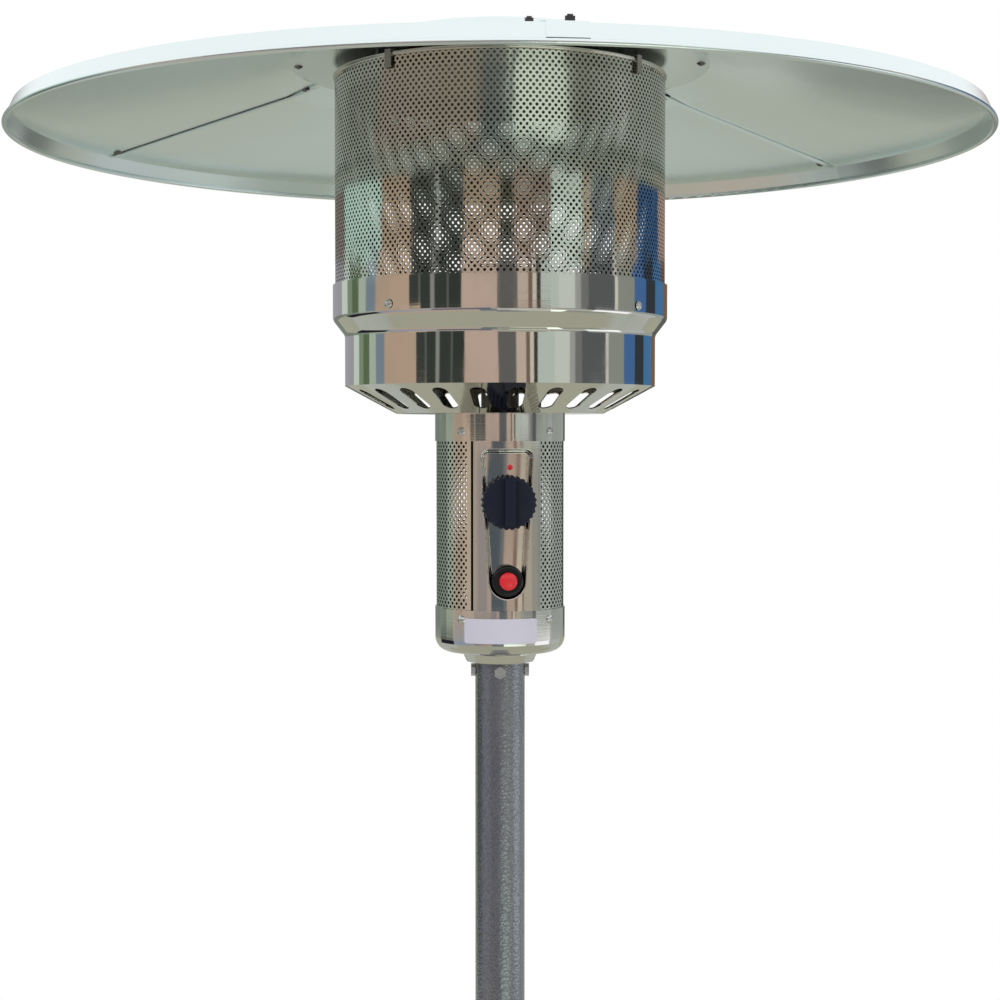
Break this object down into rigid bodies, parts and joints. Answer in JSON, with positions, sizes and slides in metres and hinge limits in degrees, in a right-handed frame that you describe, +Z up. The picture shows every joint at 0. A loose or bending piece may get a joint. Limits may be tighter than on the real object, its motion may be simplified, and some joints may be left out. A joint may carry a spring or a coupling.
{
  "type": "propane patio heater",
  "caption": "Free-standing gas patio heater: round wheeled base, sliding cylinder cover, post, control head, perforated emitter and wide dish reflector.",
  "frame": {"origin": "on the ground, on the post's axis, at the middle of the base", "axes": "+Z up along the post; -Y is the front, where the knob and igniter face; +X to the right seen from the front"},
  "size_m": [0.8129, 0.813, 2.1853],
  "materials": {
    "hammertone_paint": "grey hammertone paint",
    "polished_steel": "polished stainless steel",
    "perforated_steel": "perforated stainless steel",
    "reflector_sheet": "satin aluminium",
    "heat_steel": "heat-proof steel",
    "zinc": "zinc plated",
    "valve_casting": "die cast",
    "brass": "turned brass",
    "copper_tube": "bright tube",
    "knob_plastic": "blue-black, satin",
    "black_plastic": "black",
    "wheel_plastic": "black",
    "red_button": "red",
    "white_plastic": "white",
    "lead_insulation": "silicone sleeve",
    "ceramic": "white glazed ceramic"
  },
  "bodies": {
    "stand": {"base_plate": "hammertone_paint", "support_leg_1": "hammertone_paint", "support_leg_2": "hammertone_paint", "support_leg_3": "hammertone_paint", "leg_bolts": "zinc", "wheel_bracket": "hammertone_paint", "bracket_bolts": "zinc", "wheel_axle": "zinc", "axle_caps": "black_plastic", "post": "hammertone_paint", "pipe_guide": "black_plastic", "gas_pipe": "brass", "gas_inlet_fitting": "brass", "head_socket": "polished_steel", "head_bolts": "zinc", "housing_cup": "polished_steel", "housing_shell": "perforated_steel", "control_panel": "polished_steel", "housing_collar": "polished_steel", "housing_screws": "zinc", "gas_valve": "valve_casting", "igniter_body": "black_plastic", "igniter_bezel": "black_plastic", "tilt_switch": "white_plastic", "pilot_tube": "copper_tube", "igniter_lead": "lead_insulation", "burner_pan": "polished_steel", "pan_screws": "zinc", "screen_band": "polished_steel", "band_screws": "zinc", "emitter_screen": "perforated_steel", "mixing_tube": "heat_steel", "burner_head": "heat_steel", "pilot_burner": "heat_steel", "thermocouple": "copper_tube", "spark_electrode": "ceramic", "emitter_top_plate": "heat_steel", "top_clips": "heat_steel", "reflector_panel_1": "reflector_sheet", "reflector_panel_2": "reflector_sheet", "reflector_panel_3": "reflector_sheet", "reflector_plate": "reflector_sheet", "reflector_cap": "reflector_sheet", "cap_screws": "zinc", "reflector_studs": "zinc", "wing_nuts": "zinc", "seam_screws": "zinc", "seam_nuts": "zinc"},
    "cover": {"tank_cover": "hammertone_paint", "cover_lid": "hammertone_paint", "cover_grommet": "black_plastic", "cover_screws": "zinc"},
    "left_wheel": {"wheel_left": "wheel_plastic"},
    "right_wheel": {"wheel_right": "wheel_plastic"},
    "valve_push": {"valve_plunger": "zinc"},
    "knob": {"valve_stem": "zinc", "control_knob": "knob_plastic"},
    "igniter": {"igniter_button": "red_button"}
  },
  "joints": [
    {"name": "cover_lift", "type": "slide", "parent": "stand", "child": "cover", "axis": [0, 0, 1], "range_m": [0, 0.6]},
    {"name": "left_wheel_spin", "type": "hinge", "parent": "stand", "child": "left_wheel", "pos_m": [-0.069, 0.26, 0.038], "axis": [1, 0, 0], "continuous": true},
    {"name": "right_wheel_spin", "type": "hinge", "parent": "stand", "child": "right_wheel", "pos_m": [0.069, 0.26, 0.038], "axis": [1, 0, 0], "continuous": true},
    {"name": "knob_push", "type": "slide", "parent": "stand", "child": "valve_push", "axis": [0, 1, 0], "range_m": [0, 0.003], "stiffness_N_per_m": 900},
    {"name": "knob_turn", "type": "hinge", "parent": "valve_push", "child": "knob", "pos_m": [0, -0.0563, 1.802], "axis": [0, -1, 0], "range_deg": [0, 210]},
    {"name": "igniter_press", "type": "slide", "parent": "stand", "child": "igniter", "axis": [0, 1, 0], "range_m": [0, 0.005], "stiffness_N_per_m": 900}
  ]
}
